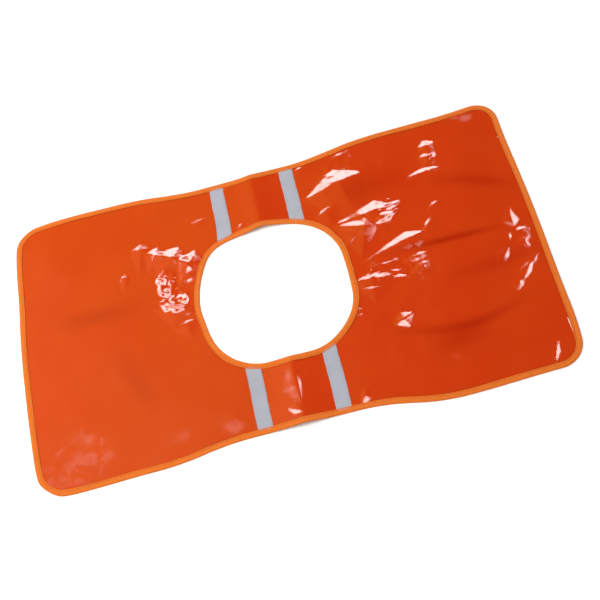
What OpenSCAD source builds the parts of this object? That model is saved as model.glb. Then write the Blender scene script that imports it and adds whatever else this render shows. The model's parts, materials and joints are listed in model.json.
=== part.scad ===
// Pull-over safety tabard, lying flat with its reflective side up.
// A coated sheet with a head opening, bound round both edges, with two
// reflective strips sewn across each shoulder. Millimetres, +Z up.
// +X is the front hem and +Y the wearer's left shoulder. The origin is on
// the surface it lies on, midway between the two hems.

/* [Sheet] */
// Length from the shoulder fold to the rear hem
rear_length = 447; // [400:1:480]
// Length from the shoulder fold to the front hem
front_length = 453; // [400:1:480]
// Width across the chest and the back
chest_width = 520; // [500:1:540]
// Width across the shoulders
shoulder_width = 486; // [470:1:495]
// Distance from the shoulder fold to where each side starts to widen
flare_start = 125; // [115:1:150]
// Length of the stretch over which each side widens
flare_length = 88; // [60:1:110]
// Radius of the four outer corners
corner_r = 42; // [20:1:60]
// How far each hem bows out at its middle
hem_bow = 8; // [2:1:15]
// Thickness of the coated fabric
sheet_t = 0.5; // [0.4:0.1:0.8]

/* [Head opening] */
// Clear size of the opening, along and across the tabard
neck_size = 250; // [230:2:270]
// Radius of the opening's four corners
neck_r = 94; // [70:1:100]
// How far each side of the opening bows out at its middle
neck_bow = 5; // [1:1:6]

/* [Binding] */
// Finished width of the folded binding tape
binding_w = 10; // [8:0.5:14]
// Thickness of the binding tape
tape_t = 0.6; // [0.4:0.1:0.8]

/* [Reflective strips] */
// Width of each strip
strip_w = 25; // [20:1:30]
// Distance between the centre lines of the two strips on a shoulder
strip_pitch = 128; // [110:1:140]
// Thickness of each strip
strip_t = 0.25; // [0.15:0.05:0.3]

/* [Stitching] */
// Width of a sewn thread
thread_w = 0.5; // [0.4:0.1:0.8]
// Distance from the binding's inner edge to its seam
binding_seam = 2; // [1.5:0.5:3]
// Distance from a strip's long edge to its seam
strip_seam = 2; // [1.5:0.5:4]

/* [Shoulder fold] */
// Height of the ridge that the storage fold leaves
ridge_h = 9; // [4:1:14]
// Distance from the fold to where the sheet lies flat
ridge_reach = 75; // [60:5:110]
// Gap between the two halves at the fold
fold_gap = 0.4; // [0.3:0.1:0.8]

/* [Hidden] */

// The fold's own line is the halves' x = 0, and this is its place in the part
fold_x = (rear_length - front_length) / 2;

// Heights above the underside
sheet_low = tape_t;
sheet_high = sheet_low + sheet_t;
binding_high = sheet_high + tape_t;
strip_high = sheet_high + strip_t;
thread_t = 0.4;      // height of a thread
thread_sink = 0.3;   // how deep a seam pulls its thread into the tape
edge_play = 0.2;     // the sheet's cut edge stops this short of the tape's fold
strip_tuck = 4;      // depth of each strip's end under the binding

// Radii that follow from the stretches they round
flare_drop = (chest_width - shoulder_width) / 2;
flare_turn = atan(flare_drop / flare_length);
flare_r = 0.45 * norm([flare_length, flare_drop]) / tan(flare_turn / 2);

// A bowed side is two straights that meet past its middle, rounded back to it
bow_share = 0.8;     // share of each straight that the rounding takes
function bow_peak(bow, half, free) =
    let (k = bow_share * free / (2 * half))
    bow * k / (1 - k);
function bow_r(bow, half, free) = bow_share * free * half / bow;

hem_free = chest_width / 2 - corner_r;
hem_peak = bow_peak(hem_bow, chest_width / 2, hem_free);
hem_r = bow_r(hem_bow + hem_peak, chest_width / 2, hem_free);
neck_half = neck_size / 2;
neck_corner = neck_half - neck_bow;
neck_free = neck_corner - neck_r;
neck_peak = bow_peak(neck_bow, neck_corner, neck_free);
neck_side_r = bow_r(neck_bow + neck_peak, neck_corner, neck_free);
ridge_r = (ridge_reach * ridge_reach + ridge_h * ridge_h) / (2 * ridge_h);

arc_step = 6;        // degrees turned by each straight of an arc
ridge_steps = 8;     // straights along each flank of the ridge
past = 5;            // how far a cutter runs past what it cuts

function reversed(list) = [for (i = [len(list) - 1 : -1 : 0]) list[i]];
function direction(a, b) = (b - a) / norm(b - a);
function right_of(u) = [u.y, -u.x];
function turned(p, a) = [p.x * cos(a) - p.y * sin(a), p.x * sin(a) + p.y * cos(a)];

// A corner of a line of straights, moved to the line's right by d
function moved_corner(a, b, c, d) =
    let (n = right_of(direction(a, b)) + right_of(direction(b, c)))
    b + 2 * d * n / (n * n);

// An end of such a line, moved along the fold so that its straight shifts by d
function moved_end(a, b, at, d) = at + [0, d / right_of(direction(a, b)).y];

// A line that starts and ends on the fold, moved to its right by d
function moved(line, d) =
    let (last = len(line) - 1)
    concat(
        [moved_end(line[0], line[1], line[0], d)],
        [for (i = [1 : last - 1]) moved_corner(line[i - 1], line[i], line[i + 1], d)],
        [moved_end(line[last - 1], line[last], line[last], d)]
    );

// The arc of radius r that rounds corner b
function arc(a, b, c, r) =
    let (
        u = direction(a, b),
        v = direction(b, c),
        turn = atan2(cross(u, v), u * v),
        start = b - u * abs(r * tan(turn / 2)),
        spoke = sign(turn) * r * right_of(u),
        steps = max(4, ceil(abs(turn) / arc_step))
    )
    [for (i = [0 : steps]) start - spoke + turned(spoke, turn * i / steps)];

// A line of straights with each of its corners rounded by its own radius
function curve(line, radii) =
    let (last = len(line) - 1)
    concat(
        [line[0]],
        [for (i = [1 : last - 1]) each arc(line[i - 1], line[i], line[i + 1], radii[i - 1])],
        [line[last]]
    );

// The outer edge of one half, inset by d, from the left shoulder round to the right
function outer_edge(length, d) =
    let (
        x = fold_gap / 2,
        narrow = shoulder_width / 2,
        wide = chest_width / 2,
        flare_end = flare_start + flare_length,
        left = [[x, narrow], [flare_start, narrow], [flare_end, wide], [length - hem_bow, wide]],
        right = [for (p = reversed(left)) [p.x, -p.y]],
        out = [flare_r + d, flare_r - d, corner_r - d]
    )
    curve(moved(concat(left, [[length + hem_peak, 0]], right), d), concat(out, [hem_r - d], reversed(out)));

// The head opening's edge in one half, set back by d into the sheet
function neck_edge(d) =
    let (
        x = fold_gap / 2,
        c = neck_corner,
        line = [[x, neck_half], [c, c], [neck_half + neck_peak, 0], [c, -c], [x, -neck_half]]
    )
    curve(moved(line, -d), [neck_r + d, neck_side_r + d, neck_r + d]);

function sheet_plan(length, d) = concat(outer_edge(length, d), reversed(neck_edge(d)));
function edge_band(length, from, to) = concat(outer_edge(length, from), reversed(outer_edge(length, to)));
function neck_band(from, to) = concat(neck_edge(to), reversed(neck_edge(from)));

// Height of the sheet's underside above its flat part, x from the fold
function rise(x) =
    let (up = max(0, ridge_reach - x))
    ridge_r - sqrt(ridge_r * ridge_r - up * up);

// Everything between two heights above the underside, over one half
module layer(length, low, high) {
    first = fold_gap / 2;
    flank = [for (i = [0 : ridge_steps]) first + (ridge_reach - first) * i / ridge_steps];
    xs = concat(flank, [length + past]);
    rotate([90, 0, 0])
        linear_extrude(height = chest_width + 2 * past, center = true)
            polygon(concat(
                [for (x = xs) [x, low + rise(x)]],
                [for (x = reversed(xs)) [x, high + rise(x)]]
            ));
}

// The part of a layer that stands over a plan
module cloth(plan, length, low, high) {
    intersection() {
        translate([0, 0, -past])
            linear_extrude(height = ridge_h + binding_high + 3 * past)
                polygon(plan);
        layer(length, low, high);
    }
}

// Puts what is drawn for x > 0 in the front or the rear half of the part
module half(front) {
    translate([fold_x, 0, 0])
        mirror([front ? 0 : 1, 0, 0])
            children();
}

// A box across one shoulder, centred on a line at x; left is +Y
module across_shoulder(x, w, left) {
    translate([x - w / 2, left ? 0 : -chest_width / 2, -past])
        cube([w, chest_width / 2, ridge_h + binding_high + 3 * past]);
}

module strip(length, left) {
    intersection() {
        cloth(sheet_plan(length, binding_w - strip_tuck), length, sheet_high, strip_high);
        across_shoulder(strip_pitch / 2, strip_w, left);
    }
}

// Two rows of stitches along a strip: needle thread above, bobbin thread below
module strip_stitching(length, left) {
    for (side = [-1, 1], low = [strip_high, sheet_low - thread_t])
        intersection() {
            cloth(sheet_plan(length, binding_w), length, low, low + thread_t);
            across_shoulder(strip_pitch / 2 + side * (strip_w / 2 - strip_seam), thread_w, left);
        }
}

// Both threads of a binding's seam, over a narrow band of plan
module seam(band, length) {
    cloth(band, length, binding_high - thread_sink, binding_high - thread_sink + thread_t);
    cloth(band, length, 0, thread_sink);
}

// A tape folded over an edge: its band, less the sheet inside it and its seam
module folded_tape(band, slot, seam_band, length) {
    difference() {
        cloth(band, length, 0, binding_high);
        cloth(slot, length, sheet_low, sheet_high);
        cloth(seam_band, length, binding_high - thread_sink, binding_high + past);
        cloth(seam_band, length, -past / 2, thread_sink);
        strip(length, true);
        strip(length, false);
    }
}

module half_sheet(length) {
    cloth(sheet_plan(length, tape_t + edge_play), length, sheet_low, sheet_high);
}

function edge_seam_band(length) =
    let (middle = binding_w - binding_seam)
    edge_band(length, middle - thread_w / 2, middle + thread_w / 2);

function neck_seam_band() =
    let (middle = binding_w - binding_seam)
    neck_band(middle - thread_w / 2, middle + thread_w / 2);

module edge_binding(length) {
    folded_tape(
        edge_band(length, 0, binding_w),
        edge_band(length, tape_t, binding_w + past),
        edge_seam_band(length),
        length
    );
}

module neck_binding(length) {
    folded_tape(
        neck_band(0, binding_w),
        neck_band(tape_t, binding_w + past),
        neck_seam_band(),
        length
    );
}

module rear_sheet() { color("orangered") half(false) half_sheet(rear_length); }
module front_sheet() { color("orangered") half(true) half_sheet(front_length); }
module rear_edge_binding() { color("sandybrown") half(false) edge_binding(rear_length); }
module front_edge_binding() { color("sandybrown") half(true) edge_binding(front_length); }
module rear_neck_binding() { color("sandybrown") half(false) neck_binding(rear_length); }
module front_neck_binding() { color("sandybrown") half(true) neck_binding(front_length); }
module rear_left_strip() { color("silver") half(false) strip(rear_length, true); }
module rear_right_strip() { color("silver") half(false) strip(rear_length, false); }
module front_left_strip() { color("silver") half(true) strip(front_length, true); }
module front_right_strip() { color("silver") half(true) strip(front_length, false); }
module rear_left_strip_stitching() { color("gray") half(false) strip_stitching(rear_length, true); }
module rear_right_strip_stitching() { color("gray") half(false) strip_stitching(rear_length, false); }
module front_left_strip_stitching() { color("gray") half(true) strip_stitching(front_length, true); }
module front_right_strip_stitching() { color("gray") half(true) strip_stitching(front_length, false); }
module rear_edge_seam() { color("darkorange") half(false) seam(edge_seam_band(rear_length), rear_length); }
module front_edge_seam() { color("darkorange") half(true) seam(edge_seam_band(front_length), front_length); }
module rear_neck_seam() { color("darkorange") half(false) seam(neck_seam_band(), rear_length); }
module front_neck_seam() { color("darkorange") half(true) seam(neck_seam_band(), front_length); }

rear_sheet();
front_sheet();
rear_edge_binding();
front_edge_binding();
rear_neck_binding();
front_neck_binding();
rear_left_strip();
rear_right_strip();
front_left_strip();
front_right_strip();
rear_left_strip_stitching();
rear_right_strip_stitching();
front_left_strip_stitching();
front_right_strip_stitching();
rear_edge_seam();
front_edge_seam();
rear_neck_seam();
front_neck_seam();
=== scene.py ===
import bpy
import json
import math
import numpy as np
from mathutils import Matrix, Vector
from mathutils.geometry import delaunay_2d_cdt


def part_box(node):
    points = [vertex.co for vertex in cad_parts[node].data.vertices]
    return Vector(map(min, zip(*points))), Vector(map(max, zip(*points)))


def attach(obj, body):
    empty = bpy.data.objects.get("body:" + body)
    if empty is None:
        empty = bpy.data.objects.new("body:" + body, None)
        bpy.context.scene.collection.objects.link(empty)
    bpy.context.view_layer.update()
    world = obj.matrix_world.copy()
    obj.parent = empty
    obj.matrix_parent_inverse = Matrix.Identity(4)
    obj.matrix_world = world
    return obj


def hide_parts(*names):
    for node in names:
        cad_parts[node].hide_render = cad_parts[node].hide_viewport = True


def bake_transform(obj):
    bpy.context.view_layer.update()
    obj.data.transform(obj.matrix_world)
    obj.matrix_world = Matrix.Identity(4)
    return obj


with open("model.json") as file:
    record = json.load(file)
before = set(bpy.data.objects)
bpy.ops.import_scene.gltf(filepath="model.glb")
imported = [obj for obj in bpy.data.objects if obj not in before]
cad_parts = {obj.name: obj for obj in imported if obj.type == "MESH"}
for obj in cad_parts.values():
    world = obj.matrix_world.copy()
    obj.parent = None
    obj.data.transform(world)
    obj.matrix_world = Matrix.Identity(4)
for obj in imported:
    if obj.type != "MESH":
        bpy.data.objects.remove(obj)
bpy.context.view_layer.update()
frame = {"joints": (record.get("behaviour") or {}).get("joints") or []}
print("frame loaded")


def boxOf(node):
    low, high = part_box(node)
    return np.array(low) * 1000, np.array(high) * 1000


# everything below is worked out in millimetres, x along the tabard and y across it
fold = frame["joints"][0]
foldX = fold["pos_m"][0] * 1000
rearHem = boxOf("rear_edge_binding")[0][0]
frontHem = boxOf("front_edge_binding")[1][0]
chestHalf = boxOf("front_edge_binding")[1][1]
neckReach = boxOf("front_neck_binding")[1][0] - foldX   # from the fold to the binding's inner edge
sheetLow = boxOf("front_sheet")[0][2]
stripLow, stripHigh = boxOf("front_left_strip")
stripCentre = (stripLow[0] + stripHigh[0]) / 2 - foldX
stripWidth = stripHigh[0] - stripLow[0]

cut = {
    "flareStart": 125,      # from the fold to where the shoulders begin to widen
    "flareLength": 88,
    "cornerRadius": 42,
    "hemBow": 8,            # how far the middle of each hem stands out
    "neckRadius": 94,
    "neckBow": 5,
    "sheetThickness": 0.5,
    "bindingWidth": 10,
    "sheetSetBack": 0.8,    # cut edge of the sheet inside the folded tape
    "stripTuck": 4,         # strip ends under the bindings
}
shoulderHalf = stripHigh[1] + cut["bindingWidth"] - cut["stripTuck"]
neckHalf = neckReach - cut["bindingWidth"]
sheetTop = sheetLow + cut["sheetThickness"]


def roundedLoop(corners, radii, step=1.0):
    # a closed line of straights with rounded corners, as evenly spaced points with normals to its right
    corners = np.array(corners, float)
    points = []
    for i, radius in enumerate(radii):
        before, here, after = corners[i - 1], corners[i], corners[(i + 1) % len(corners)]
        u = (here - before) / np.linalg.norm(here - before)
        v = (after - here) / np.linalg.norm(after - here)
        turn = math.atan2(u[0] * v[1] - u[1] * v[0], u @ v)
        start = here - u * abs(radius * math.tan(turn / 2))
        spoke = math.copysign(radius, turn) * np.array([u[1], -u[0]])
        for a in np.linspace(0, turn, max(6, int(abs(radius * turn) / step))):
            c, s = math.cos(a), math.sin(a)
            points.append(start - spoke + [spoke[0] * c - spoke[1] * s, spoke[0] * s + spoke[1] * c])
    return evenLoop(np.array(points), step)


def closedRun(points):
    # the line closed on its first point, and the distance along it to each point
    closed = np.vstack([points, points[:1]])
    return closed, np.concatenate([[0], np.cumsum(np.linalg.norm(np.diff(closed, axis=0), axis=1))])


def evenLoop(points, step):
    closed, run = closedRun(points)
    count = int(round(run[-1] / step))
    at = np.arange(count) * run[-1] / count
    even = np.column_stack([np.interp(at, run, closed[:, 0]), np.interp(at, run, closed[:, 1])])
    along = np.roll(even, -3, 0) - np.roll(even, 3, 0)
    along /= np.linalg.norm(along, axis=1)[:, None]
    normals = np.column_stack([along[:, 1], -along[:, 0]])
    return {"points": even, "normals": normals, "run": at, "total": run[-1]}


def bowPeak(bow, half, free):
    # a bowed edge is a corner rounded over most of its length: how far past the bow
    # the corner stands, and the radius that rounds it
    rounded = 0.8 * free
    share = rounded / (2 * half)
    peak = bow * share / (1 - share)
    return peak, rounded * half / (bow + peak)


def outerLoop(step=1.0):
    flareEnd = cut["flareStart"] + cut["flareLength"]
    corner = cut["cornerRadius"]
    peak, hemRadius = bowPeak(cut["hemBow"], chestHalf, chestHalf - corner)
    drop = chestHalf - shoulderHalf
    turn = math.atan2(drop, cut["flareLength"])
    flareRadius = 0.45 * math.hypot(cut["flareLength"], drop) / math.tan(turn / 2)
    corners, radii = [], []
    for end, side in ((frontHem, 1), (rearHem, -1)):
        reach = abs(end - foldX)
        left = [(cut["flareStart"], shoulderHalf), (flareEnd, chestHalf), (reach - cut["hemBow"], chestHalf)]
        half = left + [(reach + peak, 0)] + [(x, -y) for x, y in reversed(left)]
        corners += [(foldX + side * x, side * y) for x, y in half]
        radii += [flareRadius, flareRadius, corner, hemRadius, corner, flareRadius, flareRadius]
    return roundedLoop(corners, radii, step)


def neckLoop(step=1.0):
    # runs the other way round, so that its normals point into the sheet too
    c = neckHalf - cut["neckBow"]
    peak, sideRadius = bowPeak(cut["neckBow"], c, c - cut["neckRadius"])
    p = neckHalf + peak
    corners = [(-c, c), (-p, 0), (-c, -c), (0, -p), (c, -c), (p, 0), (c, c), (0, p)]
    radii = [cut["neckRadius"] if abs(x) == c else sideRadius for x, y in corners]
    return roundedLoop([(foldX + x, y) for x, y in corners], radii, step)


def inset(loop, distance):
    return loop["points"] + loop["normals"] * distance


outer = outerLoop()
neck = neckLoop()


# where the cloth was pushed or pulled out of its cut shape as it was laid down, x from the fold
creeps = [
    dict(at=(430, 242), push=(3.4, 5.0), reach=68),      # front left corner
    dict(at=(450, -188), push=(3.6, 0.0), reach=84),     # front hem, right
    dict(at=(255, -262), push=(0.0, -4.8), reach=150),   # front right side
    dict(at=(152, 250), push=(0.0, 3.8), reach=78),      # left, where it widens
    dict(at=(-430, -252), push=(4.2, 4.6), reach=46),    # rear right corner
    dict(at=(-424, 254), push=(3.6, -4.8), reach=62),    # rear left corner
    dict(at=(-446, 108), push=(2.0, 0.0), reach=90),     # rear hem, left
    dict(at=(-252, -260), push=(0.0, 2.8), reach=120),   # rear right side
    dict(at=(-230, 258), push=(0.0, -2.4), reach=90),    # rear left side
    dict(at=(-10, 243), push=(0.0, -3.0), reach=46),     # left shoulder
    dict(at=(-88, 106), push=(-4.2, 4.4), reach=52),     # head opening, rear left
    dict(at=(-126, 10), push=(-5.6, 0.0), reach=50),     # head opening, rear
    dict(at=(6, 126), push=(0.0, 4.2), reach=46),        # head opening, left
    dict(at=(94, -102), push=(-1.8, 1.8), reach=60),     # head opening, front right
]


def crept(verts):
    moved = np.array(verts, float)
    for c in creeps:
        gap = (verts[:, 0] - foldX - c["at"][0]) ** 2 + (verts[:, 1] - c["at"][1]) ** 2
        share = np.exp(-gap / (2 * (c["reach"] / 2) ** 2))
        moved[:, 0] += c["push"][0] * share
        moved[:, 1] += c["push"][1] * share
    return moved


grid = {"x0": -470.0, "y0": -280.0, "step": 1.0, "nx": 941, "ny": 561}
gridX, gridY = np.meshgrid(
    grid["x0"] + np.arange(grid["nx"]) * grid["step"] - foldX,
    grid["y0"] + np.arange(grid["ny"]) * grid["step"],
    indexing="ij",
)


def blurred(field, sigma):
    reach = int(4 * sigma) + 1
    kernel = np.exp(-0.5 * (np.arange(-reach, reach + 1) / sigma) ** 2)
    kernel /= kernel.sum()
    for axis in (0, 1):
        padded = np.pad(field, [(reach, reach) if a == axis else (0, 0) for a in (0, 1)], mode="edge")
        size = field.shape[axis]
        field = sum(k * np.take(padded, range(i, i + size), axis) for i, k in enumerate(kernel))
    return field


def randomField(seed, size):
    # smooth noise with bumps about size millimetres across, unit spread
    rng = np.random.default_rng(seed)
    spectrum = np.fft.rfft2(rng.standard_normal(gridX.shape))
    fx = np.fft.fftfreq(grid["nx"])[:, None]
    fy = np.fft.rfftfreq(grid["ny"])[None, :]
    band = np.exp(-((fx ** 2 + fy ** 2) * size ** 2) * 2)
    field = np.fft.irfft2(spectrum * band, gridX.shape)
    return field / field.std()


def facet(start, end, width, slope=0.2, side=1, lee=3.2, peak=0.5, bend=0.0):
    # a crease whose one side is steep and flat, and whose other side runs out gently
    a, b = np.array(start, float), np.array(end, float)
    length = np.linalg.norm(b - a)
    u = (b - a) / length
    v = np.array([-u[1], u[0]]) * side
    t = ((gridX - a[0]) * u[0] + (gridY - a[1]) * u[1]) / length
    s = (gridX - a[0]) * v[0] + (gridY - a[1]) * v[1] - bend * 4 * t * (1 - t)
    rising = np.clip(t / peak, 0, 1)
    falling = np.clip((1 - t) / (1 - peak), 0, 1)
    w = width * np.minimum(rising, falling) ** 0.8 + 1e-6
    w[(t <= 0) | (t >= 1)] = 1e-6
    steep = np.clip(1 - s / w, 0, 1)
    gentle = np.clip(1 + s / (w * lee), 0, 1)
    return slope * w * np.where(s > 0, steep, gentle)


def swell(start, end, height, width, bend=0.0):
    # a soft ridge, or a soft furrow where height is negative
    a, b = np.array(start, float), np.array(end, float)
    length = np.linalg.norm(b - a)
    u = (b - a) / length
    t = ((gridX - a[0]) * u[0] + (gridY - a[1]) * u[1]) / length
    s = -(gridX - a[0]) * u[1] + (gridY - a[1]) * u[0] - bend * 4 * t * (1 - t)
    fade = np.sin(np.pi * np.clip(t, 0, 1)) ** 2
    return height * fade * np.exp(-(s ** 2) / (2 * (width / 2) ** 2))


def crumple(at, size, turn, height, grain, seed, taper=1.6):
    # a patch of sharp crumpling inside an ellipse, strongest in its middle
    a = math.radians(turn)
    u = ((gridX - at[0]) * math.cos(a) + (gridY - at[1]) * math.sin(a)) / size[0]
    v = ((gridY - at[1]) * math.cos(a) - (gridX - at[0]) * math.sin(a)) / size[1]
    mask = np.clip(taper * (1 - u ** 2 - v ** 2), 0, 1)
    return height * mask * np.abs(randomField(seed, grain))


# the ridge across both shoulders, from being stored folded there
storageRidge = {"height": 9.0, "reach": 75.0, "crest": 5.0}

# steep-sided creases, x from the fold: side 1 is steep to the left of start-to-end, and -1 to the right
creases = [
    # left chest, fanning out from the head opening
    dict(start=(84, 161), end=(192, 188), width=30, peak=0.62),
    dict(start=(94, 118), end=(136, 138), width=9),
    dict(start=(138, 224), end=(184, 238), width=5, slope=0.13),
    dict(start=(181, 198), end=(180, 250), width=3, slope=0.27, side=-1),
    dict(start=(76, 224), end=(98, 231), width=5),
    # wedge in front of the head opening
    dict(start=(122, 96), end=(228, 106), width=20, slope=0.22, peak=0.74),
    dict(start=(122, 92), end=(194, 70), width=19, slope=0.24, peak=0.7),
    dict(start=(164, 78), end=(130, 44), width=4, slope=0.26),
    dict(start=(188, 76), end=(236, 94), width=12, slope=0.22, lee=0.7),
    dict(start=(206, 98), end=(248, 110), width=10, slope=0.22, lee=0.8),
    # down the middle of the chest
    dict(start=(156, 12), end=(266, 40), width=16, slope=0.21, peak=0.74),
    dict(start=(134, 1), end=(222, 4), width=7, slope=0.17, lee=1.2),
    dict(start=(130, -22), end=(206, -28), width=16, slope=0.21, peak=0.4),
    dict(start=(186, -14), end=(228, -38), width=9, slope=0.18, lee=0.8),
    dict(start=(220, -9), end=(266, -1), width=9, slope=0.21),
    dict(start=(214, -42), end=(266, -16), width=12, slope=0.21, peak=0.6),
    dict(start=(134, 8), end=(196, 14), width=4, slope=0.19, lee=1.2),
    dict(start=(136, -6), end=(184, -8), width=4, slope=0.19, lee=1.2),
    dict(start=(134, -34), end=(176, -40), width=4, slope=0.19, lee=1.2),
    dict(start=(262, 30), end=(288, 68), width=6, slope=0.27),
    dict(start=(278, 74), end=(312, 94), width=8),
    dict(start=(264, 150), end=(326, 156), width=12, peak=0.6, lee=1.8),
    dict(start=(292, 166), end=(326, 173), width=10, slope=0.19, lee=1.0),
    dict(start=(294, 179), end=(324, 184), width=11, slope=0.19, lee=1.0),
    dict(start=(298, 202), end=(330, 210), width=12),
    dict(start=(176, -116), end=(212, -102), width=15, slope=0.19, lee=1.3),
    dict(start=(118, -64), end=(140, -86), width=7, slope=0.24),
    dict(start=(222, 188), end=(236, 196), width=4, slope=0.14),
    # towards the front hem
    dict(start=(408, 0), end=(413, 46), width=17, slope=0.16, side=-1, peak=0.35, lee=1.0),
    dict(start=(400, -7), end=(438, -5), width=8),
    dict(start=(395, -24), end=(399, 2), width=6, slope=0.18, side=-1, lee=1.6),
    dict(start=(400, -32), end=(432, -20), width=7),
    dict(start=(362, -64), end=(394, -28), width=10, slope=0.18, side=-1, lee=1.6),
    dict(start=(340, -88), end=(386, -50), width=4, side=-1),
    dict(start=(392, -100), end=(420, -62), width=9, slope=0.18, side=-1, lee=1.6),
    dict(start=(404, -84), end=(436, -50), width=6, slope=0.18, side=-1, lee=1.6),
    dict(start=(379, -116), end=(393, -86), width=10, slope=0.18, side=-1, lee=1.6),
    dict(start=(394, -254), end=(412, -208), width=7, slope=0.18, side=-1, lee=1.6),
    dict(start=(437, -240), end=(434, -150), width=4, side=-1),
    dict(start=(430, 177), end=(444, 185), width=6),
    dict(start=(92, -236), end=(106, -206), width=5, slope=0.34),
    # the back: a band beside the head opening
    dict(start=(-234, 152), end=(-198, 146), width=17, slope=0.13),
    dict(start=(-210, 140), end=(-174, 124), width=18, slope=0.17, lee=2.2),
    dict(start=(-196, 132), end=(-130, 84), width=26, slope=0.18, bend=7, peak=0.45, lee=2.2),
    dict(start=(-152, 110), end=(-104, 80), width=28, slope=0.17, peak=0.4, lee=2.0),
    dict(start=(-128, 172), end=(-86, 180), width=9, slope=0.14),
    # and a star below it
    dict(start=(-212, 28), end=(-130, 10), width=13),
    dict(start=(-184, -22), end=(-132, -10), width=10, slope=0.21),
    dict(start=(-158, 4), end=(-134, 8), width=4),
    dict(start=(-148, 66), end=(-128, 74), width=4),
    dict(start=(-262, 104), end=(-240, 100), width=11, slope=0.15),
    # the shoulders
    dict(start=(-3, -136), end=(1, -214), width=9, slope=0.17),
    dict(start=(-24, -212), end=(0, -224), width=6, side=-1),
    dict(start=(-42, 138), end=(-28, 146), width=6, slope=0.16),
]

crumples = [
    dict(at=(214, 102), size=(38, 26), turn=12, height=0.45, grain=8, seed=21),
    dict(at=(-172, 35), size=(43, 24), turn=-8, height=1.35, grain=13, seed=22),
    dict(at=(-180, 66), size=(21, 36), turn=4, height=1.3, grain=13, seed=28),
    dict(at=(-150, 124), size=(50, 20), turn=-40, height=0.22, grain=7, seed=23),
    dict(at=(200, -14), size=(62, 22), turn=0, height=0.36, grain=7, seed=24),
    dict(at=(410, -40), size=(30, 66), turn=-20, height=0.2, grain=8, seed=25),
    dict(at=(148, 200), size=(50, 24), turn=20, height=0.3, grain=9, seed=26),
    dict(at=(310, 180), size=(20, 40), turn=0, height=0.2, grain=7, seed=27),
]

swells = [
    dict(start=(180, 8), end=(440, 4), height=-1.2, width=9, bend=7),      # lengthwise storage crease
    dict(start=(200, 24), end=(440, 22), height=1.0, width=30, bend=6),
    dict(start=(290, 140), end=(440, 78), height=1.5, width=52, bend=-5),
    dict(start=(120, -118), end=(410, -84), height=1.9, width=58, bend=-38),
    dict(start=(330, 200), end=(430, 170), height=1.2, width=70),
    dict(start=(-366, 236), end=(-372, 90), height=1.5, width=56),
    dict(start=(-270, 20), end=(-262, -140), height=1.6, width=80, bend=12),
    dict(start=(-352, -40), end=(-330, -240), height=1.8, width=84, bend=-14),
    dict(start=(-210, -100), end=(-196, -236), height=1.2, width=50),
    dict(start=(-120, -150), end=(-108, -236), height=1.2, width=44),
    dict(start=(-130, 190), end=(-340, 190), height=1.0, width=90),
]

# lines along the creases where shade is painted into the coating's colour: height is their strength here
shadedFurrows = [
    dict(start=(170, 15), end=(440, 9), height=0.9, width=9, bend=1),
    dict(start=(270, 142), end=(470, 66), height=0.6, width=16, bend=8),
    dict(start=(130, -104), end=(440, -100), height=0.7, width=13, bend=-46),
    dict(start=(250, -52), end=(470, -28), height=0.4, width=18, bend=-14),
    dict(start=(200, -176), end=(340, -160), height=0.5, width=22),
    dict(start=(100, 150), end=(300, 160), height=0.35, width=30),
    dict(start=(-420, 52), end=(-200, 42), height=0.5, width=20, bend=-4),
    dict(start=(-300, -10), end=(-230, -190), height=0.35, width=26, bend=10),
]

lying = {
    "crumpleFront": 0.19,    # one sigma
    "crumpleRear": 0.08,
    "crumpleSize": 28,
    "crumpleFrom": 60,       # from the fold, where the front's crumpling begins
    "crumpleFade": 60,
    "rippleFront": 0.025,
    "rippleSize": 9,
    "rounding": 1.0,         # of the creases' edges
    "pressed": 0.3,          # how softly the cloth meets what it lies on
}


def makeLie():
    fromCrest = np.sqrt(gridX ** 2 + storageRidge["crest"] ** 2)
    distance = np.maximum(0, storageRidge["reach"] - fromCrest)
    radius = (storageRidge["reach"] ** 2 + storageRidge["height"] ** 2) / (2 * storageRidge["height"])
    height = radius - np.sqrt(radius ** 2 - distance ** 2)
    for c in creases:
        height += facet(**c)
    for c in crumples:
        height += crumple(**c)
    height = blurred(height, lying["rounding"])
    for s in swells:
        height += swell(**s)
    crumpled = np.clip((gridX - lying["crumpleFrom"]) / lying["crumpleFade"], 0, 1)
    share = lying["crumpleRear"] + (lying["crumpleFront"] - lying["crumpleRear"]) * crumpled
    height += share * randomField(7, lying["crumpleSize"])
    height += crumpled * lying["rippleFront"] * randomField(11, lying["rippleSize"])
    return 0.5 * (height + np.sqrt(height ** 2 + lying["pressed"] ** 2))    # never below zero


lieGrid = makeLie()
furrowShadeGrid = sum(swell(**f) for f in shadedFurrows)


def onGrid(field, points):
    fx = np.clip((points[..., 0] - grid["x0"]) / grid["step"], 0, grid["nx"] - 1.001)
    fy = np.clip((points[..., 1] - grid["y0"]) / grid["step"], 0, grid["ny"] - 1.001)
    i, j = fx.astype(int), fy.astype(int)
    u, v = fx - i, fy - j
    low = field[i, j] * (1 - u) + field[i + 1, j] * u
    high = field[i, j + 1] * (1 - u) + field[i + 1, j + 1] * u
    return low * (1 - v) + high * v


def lie(points):
    # height of the cloth's underside above where it lies flat
    return onGrid(lieGrid, points)


print("cloth lies from", round(float(lieGrid.min()), 2), "to", round(float(lieGrid.max()), 2), "mm")


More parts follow.
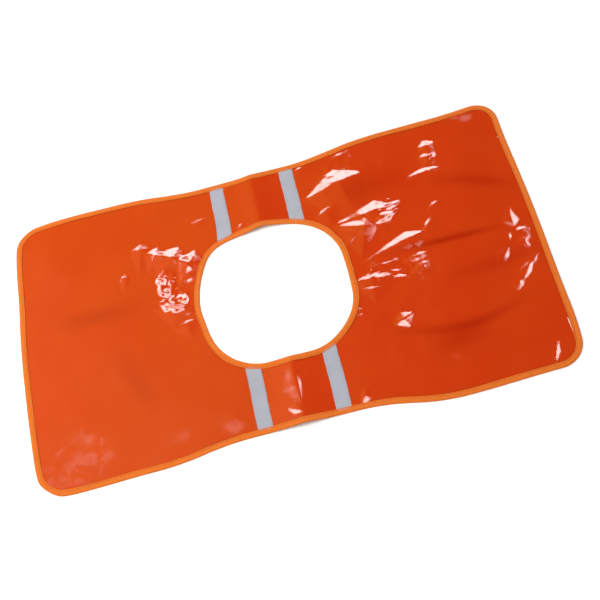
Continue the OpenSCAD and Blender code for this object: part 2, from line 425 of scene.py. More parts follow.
def makePiece(name, verts, faces, flat, materials, materialOf=None):
    # faces: arrays of equal-sided faces; flat: the flat coordinates of each face corner, in the same order
    mesh = bpy.data.meshes.new(name)
    mesh.vertices.add(len(verts))
    mesh.vertices.foreach_set("co", (crept(verts) * 0.001).astype(np.float32).ravel())
    corners = np.concatenate([f.ravel() for f in faces]).astype(np.int32)
    sides = np.concatenate([np.full(len(f), f.shape[1]) for f in faces])
    mesh.loops.add(len(corners))
    mesh.loops.foreach_set("vertex_index", corners)
    mesh.polygons.add(len(sides))
    mesh.polygons.foreach_set("loop_start", (np.cumsum(sides) - sides).astype(np.int32))
    mesh.polygons.foreach_set("use_smooth", np.ones(len(sides), bool))
    for material in materials:
        mesh.materials.append(material)
    if materialOf is not None:
        mesh.polygons.foreach_set("material_index", materialOf.astype(np.int32))
    mesh.update(calc_edges=True)
    uv = mesh.uv_layers.new(name="flat")
    uv.data.foreach_set("uv", (np.asarray(flat) * 0.001).astype(np.float32).ravel())
    obj = bpy.data.objects.new(name, mesh)
    bpy.context.scene.collection.objects.link(obj)
    return obj


def insideOf(points, loop):
    # even-odd test of many points against one closed line
    a, b = loop, np.roll(loop, -1, 0)
    inside = np.zeros(len(points), bool)
    for p, q in zip(a, b):
        crosses = (p[1] > points[:, 1]) != (q[1] > points[:, 1])
        if crosses.any():
            x = p[0] + (points[crosses, 1] - p[1]) * (q[0] - p[0]) / (q[1] - p[1])
            inside[crosses] ^= points[crosses, 0] < x
    return inside


def farFrom(points, loop, distance):
    far = np.ones(len(points), bool)
    for start in range(0, len(points), 4000):
        chunk = points[start:start + 4000]
        gap = ((chunk[:, None, :] - loop[None, :, :]) ** 2).sum(2).min(1)
        far[start:start + 4000] = gap > distance ** 2
    return far


besideTape = (9.6, 10.4, 11.6, 13.4)    # rows of points along the bindings' inner edges
meshing = {
    "fine": 2.4,
    "curvedEnough": 0.012,    # the cloth's curvature that needs the fine points
    "around": 3,              # how far round such a place they go on
    "share": 0.12,
    "clear": 1.3,             # no loose point this near a row
}


def sheetPlan():
    fine, rows = meshing["fine"], meshing["fine"] * 0.866
    rim = [inset(outer, cut["sheetSetBack"])[::3], inset(neck, cut["sheetSetBack"])[::3]]
    lips = [inset(loop, d)[::2] for loop in (outer, neck) for d in besideTape]
    i, j = np.meshgrid(np.arange(-190, 191), np.arange(-130, 131), indexing="ij")
    x = (i + 0.5 * (j % 2)) * fine
    y = j * rows
    everywhere = np.column_stack([x.ravel(), y.ravel()])
    # the fine points stay only where the cloth bends
    curvature = np.abs(np.gradient(np.gradient(lieGrid, axis=0), axis=0))
    curvature += np.abs(np.gradient(np.gradient(lieGrid, axis=1), axis=1))
    curved = (curvature > meshing["curvedEnough"]).astype(float)
    bends = blurred(curved, meshing["around"]) > meshing["share"]
    cx = np.clip(np.round(everywhere[:, 0] - grid["x0"]).astype(int), 0, grid["nx"] - 1)
    cy = np.clip(np.round(everywhere[:, 1] - grid["y0"]).astype(int), 0, grid["ny"] - 1)
    coarse = ((j % 2 == 0) & ((i + j // 2) % 2 == 0)).ravel()
    kept = everywhere[bends[cx, cy] | coarse]
    kept = kept[insideOf(kept, rim[0])]
    kept = kept[~insideOf(kept, rim[1])]
    for loop in rim + lips:
        kept = kept[farFrom(kept, loop, meshing["clear"])]
    points = np.vstack(rim + lips + [kept])
    found = delaunay_2d_cdt([Vector(p) for p in points], [], [], 0, 1e-5, False)
    faces = np.array(found[2])
    faces = faces[insideOf(points[faces].mean(1), rim[0])]
    faces = faces[~insideOf(points[faces].mean(1), rim[1])]
    a, b, c = (points[faces[:, k]] for k in range(3))
    area = ((b - a)[:, 0] * (c - a)[:, 1] - (b - a)[:, 1] * (c - a)[:, 0]) / 2
    faces[area < 0] = faces[area < 0][:, ::-1]
    return points, faces, [len(rim[0]), len(rim[1])], float(np.abs(area).sum())


def makeSheet(materials):
    points, top, rimSizes, area = sheetPlan()
    n = len(points)
    height = lie(points)
    verts = np.vstack([
        np.column_stack([points, height + sheetTop]),
        np.column_stack([points, height + sheetLow]),
    ])
    bottom = top[:, ::-1] + n
    walls, first = [], 0
    for size in rimSizes:
        here = first + np.arange(size)
        after = first + (np.arange(size) + 1) % size
        walls.append(np.column_stack([here, after, after + n, here + n]))
        first += size
    walls = np.vstack(walls)
    faces = [top, bottom, walls]
    flat = np.concatenate([verts[f.ravel()][:, :2] for f in faces])
    materialOf = np.concatenate([np.zeros(len(top)), np.ones(len(bottom)), np.zeros(len(walls))])
    obj = makePiece("coated_sheet", verts, faces, flat, materials, materialOf)
    # distance from the bindings' inner edges, in front of them and under them
    fromTape = np.full(n, 8.0)
    first = sum(rimSizes)
    for loop in (outer, neck):
        for d in besideTape:
            size = len(loop["points"][::2])
            fromTape[first:first + size] = d - cut["bindingWidth"]
            first += size
    fromTape[:sum(rimSizes)] = -8.0
    for attributeName, values in (("fromTape", fromTape), ("furrowShadow", onGrid(furrowShadeGrid, points))):
        attribute = obj.data.attributes.new(attributeName, "FLOAT", "POINT")
        attribute.data.foreach_set("value", np.tile(values, 2).astype(np.float32))
    print("sheet:", len(top) * 2 + len(walls) * 2, "triangles,", round(area / 1e6, 4), "square metres")
    return obj, area / 1e6


stitching = {"pitch": 3.3, "length": 2.7, "radius": 0.25, "rise": 0.2}

# outside of the folded tape as (inset from the edge, height above its own underside)
tapeSkin = [
    (10.0, 1.12), (10.05, 1.6), (9.85, 1.95), (9.3, 2.02), (8.7, 1.75), (8.25, 1.42), (8.0, 1.36),
    (7.75, 1.42), (7.4, 1.62), (6.6, 1.92), (5.2, 2.14), (3.6, 2.2), (2.2, 2.1), (1.1, 1.86), (0.4, 1.5),
    (0.05, 1.0), (0.05, 0.7), (0.35, 0.3), (1.0, 0.06), (2.4, 0.0), (7.2, 0.0), (8.0, 0.2), (8.8, 0.0),
    (9.7, 0.04), (10.0, 0.3), (10.0, 0.56),
]
tapeLining = [(6.0, 0.58), (1.2, 0.58), (0.75, 0.85), (1.2, 1.12), (6.0, 1.12)]
tapeLay = {
    "wander": 0.10,      # of the inner edge
    "overlap": 0.3,      # inner edge past the cut width
    "fullness": 0.03,
    "pucker": 0.08,      # between the stitches
}


def makeTape(name, loop, seed, material):
    skin = np.array(tapeSkin + tapeLining)
    count, m = len(loop["points"]), len(skin)
    rng = np.random.default_rng(seed)
    # the tape's width, fullness and puckers wander along it
    at = loop["run"] / loop["total"] * 2 * math.pi
    wander = 0
    for k in range(6, 40, 3):
        wander += rng.normal(0, tapeLay["wander"] / (1 + 0.04 * k)) * np.cos(k * at + rng.uniform(0, 7))
    fullness = 0
    for k in range(20, 150, 9):
        fullness += rng.normal(0, tapeLay["fullness"]) * np.cos(k * at + rng.uniform(0, 7))
    pucker = tapeLay["pucker"] * np.sin(loop["run"] / stitching["pitch"] * 2 * math.pi)
    s = np.repeat(skin[:, 0][None, :], count, 0)
    z = np.repeat(skin[:, 1][None, :], count, 0)
    inner = np.clip((s - 8.4) / 1.6, 0, 1)
    s = s + inner * (wander[:, None] + tapeLay["overlap"])
    crown = np.clip((z - 1.2) / 1.0, 0, 1)
    besideSeam = np.exp(-((s - 7.2) / 1.2) ** 2)
    z = z + crown * (fullness[:, None] + pucker[:, None] * besideSeam)
    xy = loop["points"][:, None, :] + loop["normals"][:, None, :] * s[..., None]
    verts = np.dstack([xy, z + lie(xy)]).reshape(-1, 3)
    here = np.arange(count)[:, None] * m + np.arange(m)[None, :]
    after = np.roll(here, -1, 0)
    faces = np.dstack([here, np.roll(here, -1, 1), np.roll(after, -1, 1), after]).reshape(-1, 4)
    across = np.concatenate([[0], np.cumsum(np.linalg.norm(np.diff(skin, axis=0), axis=1))])
    across = np.append(across, across[-1] + np.linalg.norm(skin[0] - skin[-1]))
    run = np.append(loop["run"], loop["total"])
    u0, u1 = run[:-1][:, None] + 0 * across[:-1], run[1:][:, None] + 0 * across[:-1]
    v0, v1 = across[:-1][None, :] + 0 * u0, across[1:][None, :] + 0 * u0
    flat = np.dstack([u0, v0, u0, v1, u1, v1, u1, v0]).reshape(-1, 2)
    return makePiece(name, verts, [faces], flat, [material])


def tubes(centres, sideways, radius):
    # centres: stitches x points x 3, with a five-sided tube along each
    count, k = centres.shape[:2]
    sides = 5
    taper = np.sin(np.linspace(0.12, 0.88, k) * math.pi) ** 0.35
    angle = np.arange(sides) * 2 * math.pi / sides
    ring = radius * taper[None, :, None, None] * (
        np.cos(angle)[None, None, :, None] * sideways[:, None, None, :]
        + np.sin(angle)[None, None, :, None] * np.array([0, 0, 1.0])
    )
    verts = (centres[:, :, None, :] + ring).reshape(-1, 3)
    index = np.arange(count * k * sides).reshape(count, k, sides)
    a, b = index[:, :-1], index[:, 1:]
    walls = np.stack([a, np.roll(a, -1, 2), np.roll(b, -1, 2), b], -1).reshape(-1, 4)
    caps = np.vstack([index[:, 0, ::-1], index[:, -1]])
    return verts, [walls, caps]


def stitchRow(path, top, bottom):
    # needle and bobbin stitches along a path, at two heights above the bindings' underside
    dist, total = path["run"], path["total"]
    count = int(total / stitching["pitch"])
    k = 6
    t = np.linspace(0, 1, k)
    pieces = []
    for level, lift, shift in ((top, 1, 0.0), (bottom, -1, 0.5)):
        at = (np.arange(count)[:, None] + shift) * total / count + (t - 0.5)[None, :] * stitching["length"]
        if path["closed"]:
            at = at % total
        else:
            at = np.clip(at, 0, total)
        x = np.interp(at, dist, path["points"][:, 0])
        y = np.interp(at, dist, path["points"][:, 1])
        flatPoints = np.stack([x, y], -1)
        z = lie(flatPoints) + level + lift * stitching["rise"] * np.sin(np.pi * t)[None, :]
        centres = np.stack([x, y, z], -1)
        ahead = flatPoints[:, -1] - flatPoints[:, 0]
        ahead /= np.linalg.norm(ahead, axis=1)[:, None] + 1e-9
        sideways = np.column_stack([ahead[:, 1], -ahead[:, 0], np.zeros(count)])
        pieces.append(tubes(centres, sideways, stitching["radius"]))
    return pieces


def joinTubes(name, pieces, material):
    verts, walls, caps, base = [], [], [], 0
    for v, (w, c) in pieces:
        verts.append(v)
        walls.append(w + base)
        caps.append(c + base)
        base += len(v)
    verts = np.vstack(verts)
    faces = [np.vstack(walls), np.vstack(caps)]
    flat = np.concatenate([verts[f.ravel()][:, :2] for f in faces])
    return makePiece(name, verts, faces, flat, [material])


def seamPath(loop, distance):
    closed, run = closedRun(inset(loop, distance))
    return {"points": closed, "run": run, "total": run[-1], "closed": True}


def edgeAt(loop, x, distance, sign):
    # y of a loop's inset line at x, on the side of the tabard with that sign
    points = inset(loop, distance)
    side = points[points[:, 1] * sign > 0]
    order = np.argsort(side[:, 0])
    near = np.abs(side[order, 0] - foldX) < 110    # the shoulders only
    return np.interp(x, side[order, 0][near], side[order, 1][near])


stripSkin = {
    "thickness": 0.25,
    "lift": 0.06,       # above the sheet
    "puff": 0.16,       # between the two seams
    "seam": 2.0,        # in from the strip's edges
    "wave": 0.25,
    "shiver": 0.12,
}


def makeStrip(name, centre, sign, seed, material):
    half = stripWidth / 2
    rng = np.random.default_rng(seed)
    # across the strip: over the top, then back underneath
    across = np.linspace(-half, half, 25)
    fromSeam = np.abs(np.abs(across) - (half - stripSkin["seam"]))
    puff = stripSkin["puff"] * np.clip(fromSeam / 2.5, 0, 1) * (np.abs(across) < half - stripSkin["seam"])
    skinX = np.concatenate([across, across[::-1]])
    low, high = stripSkin["lift"], stripSkin["lift"] + stripSkin["thickness"]
    skinZ = np.concatenate([high + puff, low + puff[::-1]])
    m, n = len(skinX), 121
    tuck = cut["bindingWidth"] - cut["stripTuck"]
    x = foldX + centre + skinX
    inner = edgeAt(neck, x, tuck, sign)
    outerEnd = edgeAt(outer, x, tuck, sign)
    t = np.linspace(0, 1, n)[:, None]
    y = inner[None, :] * (1 - t) + outerEnd[None, :] * t
    wave = stripSkin["wave"] * np.sin(t * 9 + rng.uniform(0, 6))
    wave += stripSkin["shiver"] * np.sin(t * 31 + rng.uniform(0, 6))
    points = np.stack([np.repeat(x[None, :], n, 0) + wave, y], -1)
    z = lie(points) + sheetTop + skinZ[None, :]
    verts = np.dstack([points, z]).reshape(-1, 3)
    index = np.arange(n * m).reshape(n, m)
    a, b = index[:-1], index[1:]
    walls = np.stack([a, np.roll(a, -1, 1), np.roll(b, -1, 1), b], -1).reshape(-1, 4)
    k = m // 2
    ends = []
    for row, flip in ((index[0], False), (index[-1], True)):
        quad = np.column_stack([row[:k - 1], row[1:k], row[::-1][1:k], row[::-1][:k - 1]])
        ends.append(quad if flip else quad[:, ::-1])
    faces = np.vstack([walls] + ends)
    if sign > 0:
        faces = faces[:, ::-1]
    flat = verts[faces.ravel()][:, :2]
    return makePiece(name, verts, [faces], flat, [material])


def stripRows(centre, sign, material, name):
    pieces = []
    width = cut["bindingWidth"]
    for side in (-1, 1):
        x = foldX + centre + side * (stripWidth / 2 - stripSkin["seam"])
        y0, y1 = edgeAt(neck, x, width, sign), edgeAt(outer, x, width, sign)
        n = 60
        points = np.column_stack([np.full(n, x), np.linspace(y0, y1, n)])
        run = np.abs(points[:, 1] - points[0, 1])
        path = {"points": points, "run": run, "total": run[-1], "closed": False}
        top = sheetTop + stripSkin["lift"] + stripSkin["thickness"]
        pieces += stitchRow(path, top, sheetLow)
    return joinTubes(name, pieces, material)


def addNode(tree, kind, **settings):
    node = tree.nodes.new(kind)
    for key, value in settings.items():
        setattr(node, key, value)
    return node


def wire(tree, source, target):
    # source: socket or constant; target: input socket
    if hasattr(source, "is_output"):
        tree.links.new(source, target)
    else:
        target.default_value = source


def calc(tree, operation, *values, clamp=False):
    node = addNode(tree, "ShaderNodeMath", operation=operation, use_clamp=clamp)
    for socket, value in zip(node.inputs, values):
        wire(tree, value, socket)
    return node.outputs[0]


def mixColour(tree, share, a, b):
    node = addNode(tree, "ShaderNodeMix", data_type="RGBA")
    wire(tree, share, node.inputs[0])
    wire(tree, a, node.inputs[6])
    wire(tree, b, node.inputs[7])
    return node.outputs[2]


def spread(tree, value, low, high, outLow=0.0, outHigh=1.0):
    node = addNode(tree, "ShaderNodeMapRange", interpolation_type="SMOOTHSTEP")
    for socket, v in zip(node.inputs, (value, low, high, outLow, outHigh)):
        wire(tree, v, socket)
    return node.outputs[0]


def noise(tree, vector, scale, detail=3.0, roughness=0.5, distortion=0.0):
    node = addNode(tree, "ShaderNodeTexNoise")
    wire(tree, vector, node.inputs["Vector"])
    node.inputs["Scale"].default_value = scale
    node.inputs["Detail"].default_value = detail
    node.inputs["Roughness"].default_value = roughness
    node.inputs["Distortion"].default_value = distortion
    return node.outputs["Fac"]


def newGroup(name, inputs, outputs):
    group = bpy.data.node_groups.new(name, "ShaderNodeTree")
    for socketName, kind, default in inputs:
        socket = group.interface.new_socket(socketName, in_out="INPUT", socket_type=kind)
        if default is not None:
            socket.default_value = default
    for socketName in outputs:
        group.interface.new_socket(socketName, in_out="OUTPUT", socket_type="NodeSocketFloat")
    return group, group.nodes.new("NodeGroupInput"), group.nodes.new("NodeGroupOutput")


def makeWeaveGroup():
    # a plain weave, ribs crossed by warp
    group, given, result = newGroup(
        "Plain weave",
        [
            ("Flat", "NodeSocketVector", None),
            ("Rib", "NodeSocketFloat", 0.0006),
            ("Warp", "NodeSocketFloat", 0.0005),
        ],
        ["Height", "Shade"],
    )
    split = addNode(group, "ShaderNodeSeparateXYZ")
    wire(group, given.outputs["Flat"], split.inputs[0])
    u = calc(group, "MULTIPLY", calc(group, "DIVIDE", split.outputs[0], given.outputs["Rib"]), 2 * math.pi)
    v = calc(group, "MULTIPLY", calc(group, "DIVIDE", split.outputs[1], given.outputs["Warp"]), 2 * math.pi)
    weave = calc(group, "MULTIPLY", calc(group, "SINE", u), calc(group, "SINE", v))
    wire(group, calc(group, "MULTIPLY_ADD", weave, 0.5, 0.5), result.inputs["Height"])
    uneven = noise(group, given.outputs["Flat"], 260, 3)
    wire(group, calc(group, "MULTIPLY_ADD", weave, 0.25, uneven), result.inputs["Shade"])
    return group


def makeScuffGroup():
    # handling marks: broad smears, and fine short scratches between them
    group, given, result = newGroup(
        "Scuffs",
        [("Flat", "NodeSocketVector", None), ("Amount", "NodeSocketFloat", 0.5)],
        ["Smears", "Scratches"],
    )
    broad = spread(group, noise(group, given.outputs["Flat"], 16, 4, 0.6, 0.4), 0.42, 0.72)
    wire(group, calc(group, "MULTIPLY", broad, given.outputs["Amount"]), result.inputs["Smears"])
    stretch = addNode(group, "ShaderNodeMapping", vector_type="TEXTURE")
    wire(group, given.outputs["Flat"], stretch.inputs["Vector"])
    stretch.inputs["Rotation"].default_value = (0, 0, 0.6)
    stretch.inputs["Scale"].default_value = (9, 0.7, 1)
    fine = spread(group, noise(group, stretch.outputs["Vector"], 420, 2), 0.66, 0.76)
    wire(group, calc(group, "MULTIPLY", fine, given.outputs["Amount"]), result.inputs["Scratches"])
    return group


def makeDustGroup():
    # specks, in patches
    group, given, result = newGroup(
        "Dust",
        [("Flat", "NodeSocketVector", None), ("Amount", "NodeSocketFloat", 0.3)],
        ["Mask"],
    )
    cells = addNode(group, "ShaderNodeTexVoronoi")
    wire(group, given.outputs["Flat"], cells.inputs["Vector"])
    cells.inputs["Scale"].default_value = 700
    dots = spread(group, cells.outputs["Distance"], 0.03, 0.12, 1.0, 0.0)
    patches = spread(group, noise(group, given.outputs["Flat"], 24, 3), 0.5, 0.75)
    specks = calc(group, "MULTIPLY", dots, patches)
    wire(group, calc(group, "MULTIPLY", specks, given.outputs["Amount"]), result.inputs["Mask"])
    return group


weaveGroup = makeWeaveGroup()
scuffGroup = makeScuffGroup()
dustGroup = makeDustGroup()


def useGroup(tree, group, **inputs):
    node = addNode(tree, "ShaderNodeGroup", node_tree=group)
    for name, value in inputs.items():
        wire(tree, value, node.inputs[name])
    return node.outputs


def newMaterial(name):
    material = bpy.data.materials.new(name)
    material.use_nodes = True
    tree = material.node_tree
    tree.nodes.clear()
    shader = addNode(tree, "ShaderNodeBsdfPrincipled")
    output = addNode(tree, "ShaderNodeOutputMaterial")
    tree.links.new(shader.outputs[0], output.inputs["Surface"])
    uv = addNode(tree, "ShaderNodeUVMap", uv_map="flat")
    return material, tree, shader, uv.outputs[0]


def bumpInto(tree, shader, height, distance):
    bump = addNode(tree, "ShaderNodeBump")
    bump.inputs["Strength"].default_value = 1.0
    bump.inputs["Distance"].default_value = distance
    wire(tree, height, bump.inputs["Height"])
    tree.links.new(bump.outputs[0], shader.inputs["Normal"])


coating = {
    "colour": (0.555, 0.0435, 0.0042, 1),
    "deep": (0.54, 0.037, 0.0036, 1),
    "dust": (0.6, 0.5, 0.45, 1),
    "dusty": 0.25,
    "scuffed": 0.5,
    # painted shade colour, along the bindings' inner edges
    "tapeShadow": (0.30, 0.012, 0.001, 1),       # along the bindings
    # painted shade colour, along the creases
    "furrowShadow": (0.38, 0.015, 0.001, 1),
    "furrowShade": 0.95,
    "roughness": 0.055,
    "ior": 1.6,
    "scrimPitch": 0.0029,
    "scrimDepth": 0.000065,
}


def makeCoating():
    material, tree, shader, flat = newMaterial("coated_sheet")
    scuffs = useGroup(tree, scuffGroup, Flat=flat, Amount=coating["scuffed"])
    dust = useGroup(tree, dustGroup, Flat=flat, Amount=coating["dusty"])
    cloudy = spread(tree, noise(tree, flat, 9, 4, 0.55), 0.3, 0.7)
    colour = mixColour(tree, cloudy, coating["colour"], coating["deep"])
    colour = mixColour(tree, calc(tree, "MULTIPLY", dust["Mask"], 0.5), colour, coating["dust"])
    # painted shade along the creases, strongest on the crease lines
    furrowShadow = addNode(tree, "ShaderNodeAttribute", attribute_name="furrowShadow")
    furrowShadeShare = calc(tree, "MULTIPLY", furrowShadow.outputs["Fac"], coating["furrowShade"], clamp=True)
    colour = mixColour(tree, furrowShadeShare, colour, coating["furrowShadow"])
    # painted shade along the bindings' inner edges, where their thickness shadows the sheet, broken into
    # patches
    gap = addNode(tree, "ShaderNodeAttribute", attribute_name="fromTape")
    lipShade = spread(tree, gap.outputs["Fac"], 0.2, 2.4, 1.0, 0.0)
    patchy = spread(tree, noise(tree, flat, 14, 2), 0.35, 0.6, 0.15, 0.75)
    colour = mixColour(tree, calc(tree, "MULTIPLY", lipShade, patchy), colour, coating["tapeShadow"])
    wire(tree, colour, shader.inputs["Base Color"])
    rough = calc(tree, "MULTIPLY_ADD", scuffs["Smears"], 0.02, coating["roughness"])
    rough = calc(tree, "MULTIPLY_ADD", scuffs["Scratches"], 0.04, rough)
    wire(tree, rough, shader.inputs["Roughness"])
    shader.inputs["IOR"].default_value = coating["ior"]
    # open woven scrim showing through the coating: threads both ways with small gaps
    split = addNode(tree, "ShaderNodeSeparateXYZ")
    wire(tree, flat, split.inputs[0])
    waves = []
    for axis in (0, 1):
        turns = calc(tree, "DIVIDE", split.outputs[axis], coating["scrimPitch"])
        angle = calc(tree, "MULTIPLY", turns, 2 * math.pi)
        waves.append(calc(tree, "MULTIPLY_ADD", calc(tree, "COSINE", angle), 0.5, 0.5))
    loose = calc(tree, "MULTIPLY_ADD", noise(tree, flat, 90, 2), 0.9, 0.3)
    scrim = calc(tree, "MULTIPLY", calc(tree, "MAXIMUM", *waves), loose)
    bumpInto(tree, shader, scrim, coating["scrimDepth"])
    return material


backing = {
    "colour": (0.46, 0.05, 0.012, 1),
    "pale": (0.62, 0.16, 0.06, 1),
    "dust": (0.5, 0.42, 0.38, 1),
    "dusty": 0.5,
    "weave": 0.0009,
    "weaveDepth": 0.00012,
}


def makeBacking():
    material, tree, shader, flat = newMaterial("sheet_backing")
    weave = useGroup(tree, weaveGroup, Flat=flat, Rib=backing["weave"], Warp=backing["weave"])
    dust = useGroup(tree, dustGroup, Flat=flat, Amount=backing["dusty"])
    colour = mixColour(tree, calc(tree, "MULTIPLY", weave["Shade"], 0.5), backing["colour"], backing["pale"])
    colour = mixColour(tree, dust["Mask"], colour, backing["dust"])
    wire(tree, colour, shader.inputs["Base Color"])
    wire(tree, calc(tree, "MULTIPLY_ADD", weave["Shade"], 0.2, 0.6), shader.inputs["Roughness"])
    shader.inputs["Specular IOR Level"].default_value = 0.08
    bumpInto(tree, shader, weave["Height"], backing["weaveDepth"])
    return material


tape = {
    "colour": (0.71, 0.165, 0.013, 1),
    "shade": (0.62, 0.125, 0.009, 1),
    "dust": (0.8, 0.6, 0.45, 1),
    "dusty": 0.3,
    "rib": 0.0007,
    "warp": 0.0006,
    "weaveDepth": 0.00008,
}


def makeBindingTape():
    material, tree, shader, flat = newMaterial("binding_tape")
    weave = useGroup(tree, weaveGroup, Flat=flat, Rib=tape["rib"], Warp=tape["warp"])
    dust = useGroup(tree, dustGroup, Flat=flat, Amount=tape["dusty"])
    tone = spread(tree, weave["Shade"], 0.25, 0.75)
    colour = mixColour(tree, tone, tape["shade"], tape["colour"])
    colour = mixColour(tree, calc(tree, "MULTIPLY", dust["Mask"], 0.4), colour, tape["dust"])
    wire(tree, colour, shader.inputs["Base Color"])
    wire(tree, calc(tree, "MULTIPLY_ADD", weave["Shade"], 0.2, 0.5), shader.inputs["Roughness"])
    shader.inputs["Specular IOR Level"].default_value = 0.05
    bumpInto(tree, shader, weave["Height"], tape["weaveDepth"])
    return material


reflective = {
    "colour": (0.36, 0.36, 0.405, 1),
    "dull": (0.31, 0.31, 0.35, 1),
    "threads": (0.28, 0.29, 0.32, 1),
    "scuffed": 0.6,
    "weave": 0.0005,
    "weaveDepth": 0.00004,
}


def makeReflective():
    material, tree, shader, flat = newMaterial("reflective_tape")
    weave = useGroup(tree, weaveGroup, Flat=flat, Rib=reflective["weave"], Warp=reflective["weave"])
    scuffs = useGroup(tree, scuffGroup, Flat=flat, Amount=reflective["scuffed"])
    colour = mixColour(tree, scuffs["Smears"], reflective["colour"], reflective["dull"])
    colour = mixColour(tree, calc(tree, "MULTIPLY", weave["Shade"], 0.25), colour, reflective["threads"])
    wire(tree, colour, shader.inputs["Base Color"])
    shader.inputs["Specular IOR Level"].default_value = 0.1
    wire(tree, calc(tree, "MULTIPLY_ADD", weave["Shade"], 0.2, 0.45), shader.inputs["Roughness"])
    bumpInto(tree, shader, weave["Height"], reflective["weaveDepth"])
    return material


threadColours = {
    "strip_thread": {"colour": (0.42, 0.43, 0.47, 1), "shade": (0.3, 0.31, 0.34, 1)},
    "binding_thread": {"colour": (0.78, 0.17, 0.03, 1), "shade": (0.6, 0.1, 0.018, 1)},
}


def makeThread(name):
    material, tree, shader, flat = newMaterial(name)
    twist = noise(tree, flat, 1500, 2)
    thread = threadColours[name]
    colour = mixColour(tree, spread(tree, twist, 0.35, 0.65), thread["shade"], thread["colour"])
    wire(tree, colour, shader.inputs["Base Color"])
    wire(tree, calc(tree, "MULTIPLY_ADD", twist, 0.3, 0.4), shader.inputs["Roughness"])
    shader.inputs["Specular IOR Level"].default_value = 0.1
    bumpInto(tree, shader, twist, 0.00005)
    return material


coatingMaterial = makeCoating()
backingMaterial = makeBacking()
tapeMaterial = makeBindingTape()
reflectiveMaterial = makeReflective()
stripThread = makeThread("strip_thread")
bindingThread = makeThread("binding_thread")
print("materials made")


def acrossFold(obj, slotName, *nodes):
    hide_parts(*nodes)
    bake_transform(obj)
    return obj


sheetObj, sheetArea = makeSheet([coatingMaterial, backingMaterial])
acrossFold(sheetObj, "coated_sheet", "rear_sheet", "front_sheet")
edgeTape = acrossFold(makeTape("edge_binding", outer, 3, tapeMaterial), "binding_tape",
                      "rear_edge_binding", "front_edge_binding")
neckTape = acrossFold(makeTape("neck_binding", neck, 4, tapeMaterial), "binding_tape",
                      "rear_neck_binding", "front_neck_binding")
bindingSeam = {"inset": 8.0, "top": 1.42, "bottom": 0.48}    # in the groove of tapeSkin
for name, loop, nodes in (
    ("edge_seam", outer, ("rear_edge_seam", "front_edge_seam")),
    ("neck_seam", neck, ("rear_neck_seam", "front_neck_seam")),
):
    rows = stitchRow(seamPath(loop, bindingSeam["inset"]), bindingSeam["top"], bindingSeam["bottom"])
    acrossFold(joinTubes(name, rows, bindingThread), "binding_thread", *nodes)

for body, side in (("rear_half", -1), ("front_half", 1)):
    for hand, sign in (("left", 1), ("right", -1)):
        node = body.split("_")[0] + "_" + hand + "_strip"
        strip = makeStrip(node + "_tape", side * stripCentre, sign, 20 + side + 2 * sign, reflectiveMaterial)
        threads = stripRows(side * stripCentre, sign, stripThread, node + "_threads")
        for obj, slotName, replaced in (
            (strip, "reflective_tape", node),
            (threads, "strip_thread", node + "_stitching"),
        ):
            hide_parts(replaced)
            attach(obj, body)

print("pieces made")


def makeFloor(half=30.0):
    mesh = bpy.data.meshes.new("floor")
    corners = [(-half, -half, 0), (half, -half, 0), (half, half, 0), (-half, half, 0)]
    mesh.from_pydata(corners, [], [(0, 1, 2, 3)])
    floor = bpy.data.objects.new("floor", mesh)
    bpy.context.scene.collection.objects.link(floor)
    material = bpy.data.materials.new("floor")
    material.use_nodes = True
    shader = material.node_tree.nodes["Principled BSDF"]
    shader.inputs["Base Color"].default_value = (0.96, 0.96, 0.96, 1)
    shader.inputs["Roughness"].default_value = 0.9
    shader.inputs["Specular IOR Level"].default_value = 0.1
    mesh.materials.append(material)


def areaLight(name, pose, size, radiance, seenBy, colour=(1, 1, 1)):
    # a soft box of even brightness, which only the gloss or only the diffuse shading sees
    data = bpy.data.lights.new(name, "AREA")
    data.shape = "RECTANGLE"
    data.size, data.size_y = size
    data.energy = radiance * size[0] * size[1] * math.pi
    data.color = colour
    light = bpy.data.objects.new(name, data)
    bpy.context.scene.collection.objects.link(light)
    light.matrix_world = pose
    light.visible_camera = False
    light.visible_diffuse = seenBy == "diffuse"
    light.visible_glossy = seenBy == "gloss"


lighting = {
    "fill": 3.05,                     # large soft box from the left, which the gloss doesn't show
    "fillFrom": (-0.5, 0.12, 0.86),
    "fillDistance": 2.0,
    "fillSize": (2.1, 2.1),
    "cards": 12.0,                    # four strips that only the gloss shows
    "towards": (0.08, 0.50, 0.86),    # where flat cloth reflects
    "distance": 8.0,
    "surround": 0.62,                 # pale room, which the gloss doesn't show
}
# each strip's near and far edge, in degrees from the middle of the frame
strips = {"left": (36, 50), "right": (20, 36), "top": (20, 36), "far": (17, 33)}
# dim tinted cards beside the frame, which the back of the tabard catches, in degrees from the same middle
glows = [
    {"at": (-27.5, -12.5), "turn": -51, "size": (48, 23), "radiance": 0.75, "colour": (1.0, 0.85, 0.2)},
    {"at": (-19.0, -3.0), "turn": 0, "size": (27, 50), "radiance": 0.4, "colour": (0.4, 1.0, 0.1)},
]


def standing(place, across, upward, back):
    return Matrix.Translation(place) @ Matrix((across, upward, back)).transposed().to_4x4()


def reachOf(degrees):
    return lighting["distance"] * math.tan(math.radians(degrees))


def makeFill():
    back = Vector(lighting["fillFrom"]).normalized()
    turned = (-back).to_track_quat("-Z", "Y").to_matrix().to_4x4()
    pose = Matrix.Translation(back * lighting["fillDistance"]) @ turned
    areaLight("fill", pose, lighting["fillSize"], lighting["fill"], "diffuse")


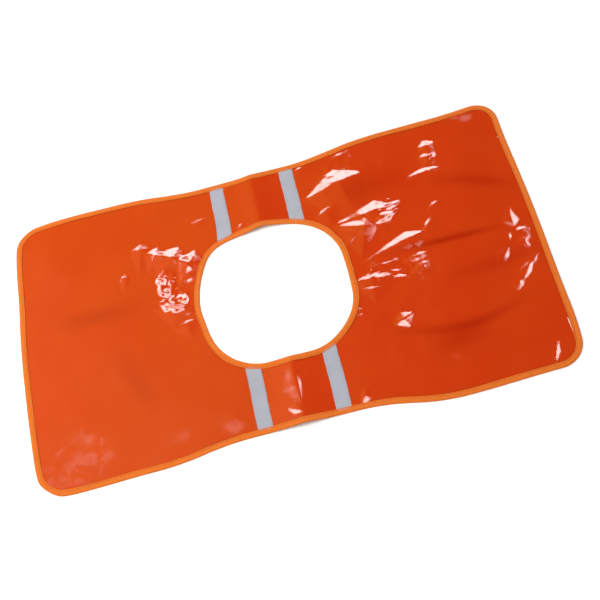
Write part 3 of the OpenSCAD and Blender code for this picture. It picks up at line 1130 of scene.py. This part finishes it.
def makeCards():
    # a frame of strips round the place where flat cloth reflects, so that only steep creases catch them
    back = Vector(lighting["towards"]).normalized()
    across = back.cross(Vector((0, 0, 1))).normalized()
    upward = across.cross(back) * -1
    middle = back * lighting["distance"]
    reach = {name: [reachOf(a) for a in edges] for name, edges in strips.items()}
    for name, way, other in (
        ("left", -across, ("top", "far")),
        ("right", across, ("top", "far")),
        ("top", -upward, ("left", "right")),
        ("far", upward, ("left", "right")),
    ):
        near, out = reach[name]
        sideways = name in ("left", "right")
        first, second = (reach[o][0 if sideways else 1] for o in other)
        shift = (-upward if sideways else -across) * (first - second) / 2
        size = (out - near, first + second) if sideways else (first + second, out - near)
        place = middle + way * (near + out) / 2 + shift
        areaLight(name + " strip", standing(place, across, upward, back), size, lighting["cards"], "gloss")
    for glow in glows:
        size = [2 * reachOf(a / 2) for a in glow["size"]]
        place = middle + across * reachOf(glow["at"][0]) + upward * reachOf(glow["at"][1])
        turn = Matrix.Rotation(math.radians(glow["turn"]), 4, "Z")
        pose = standing(place, across, upward, back) @ turn
        areaLight("glow", pose, size, glow["radiance"], "gloss", glow["colour"])


makeFloor()
makeFill()
makeCards()

world = bpy.data.worlds.new("studio")
world.use_nodes = True
world.node_tree.nodes["Background"].inputs["Color"].default_value = (1, 1, 1, 1)
world.node_tree.nodes["Background"].inputs["Strength"].default_value = lighting["surround"]
world.cycles_visibility.glossy = False
bpy.context.scene.world = world

shot = {
    "azimuth": 5.2,
    "elevation": 61.5,
    "roll": -19.5,
    "distance": 1.720,
    "target": (0.0328, -0.0265, 0.0),
    "lens": 62.0,
}


def makeCamera():
    az, el, roll = (math.radians(shot[k]) for k in ("azimuth", "elevation", "roll"))
    back = Vector((math.sin(az) * math.cos(el), -math.cos(az) * math.cos(el), math.sin(el)))
    right = (-back).cross(Vector((0, 0, 1))).normalized()
    up = right.cross(-back)
    across = math.cos(roll) * right + math.sin(roll) * up
    upward = -math.sin(roll) * right + math.cos(roll) * up
    data = bpy.data.cameras.new("camera")
    data.lens = shot["lens"]
    data.sensor_width = 36
    camera = bpy.data.objects.new("camera", data)
    bpy.context.scene.collection.objects.link(camera)
    camera.matrix_world = standing(Vector(shot["target"]) + back * shot["distance"], across, upward, back)
    bpy.context.scene.camera = camera


makeCamera()
bpy.context.scene.view_settings.view_transform = "Standard"
print("stage made")
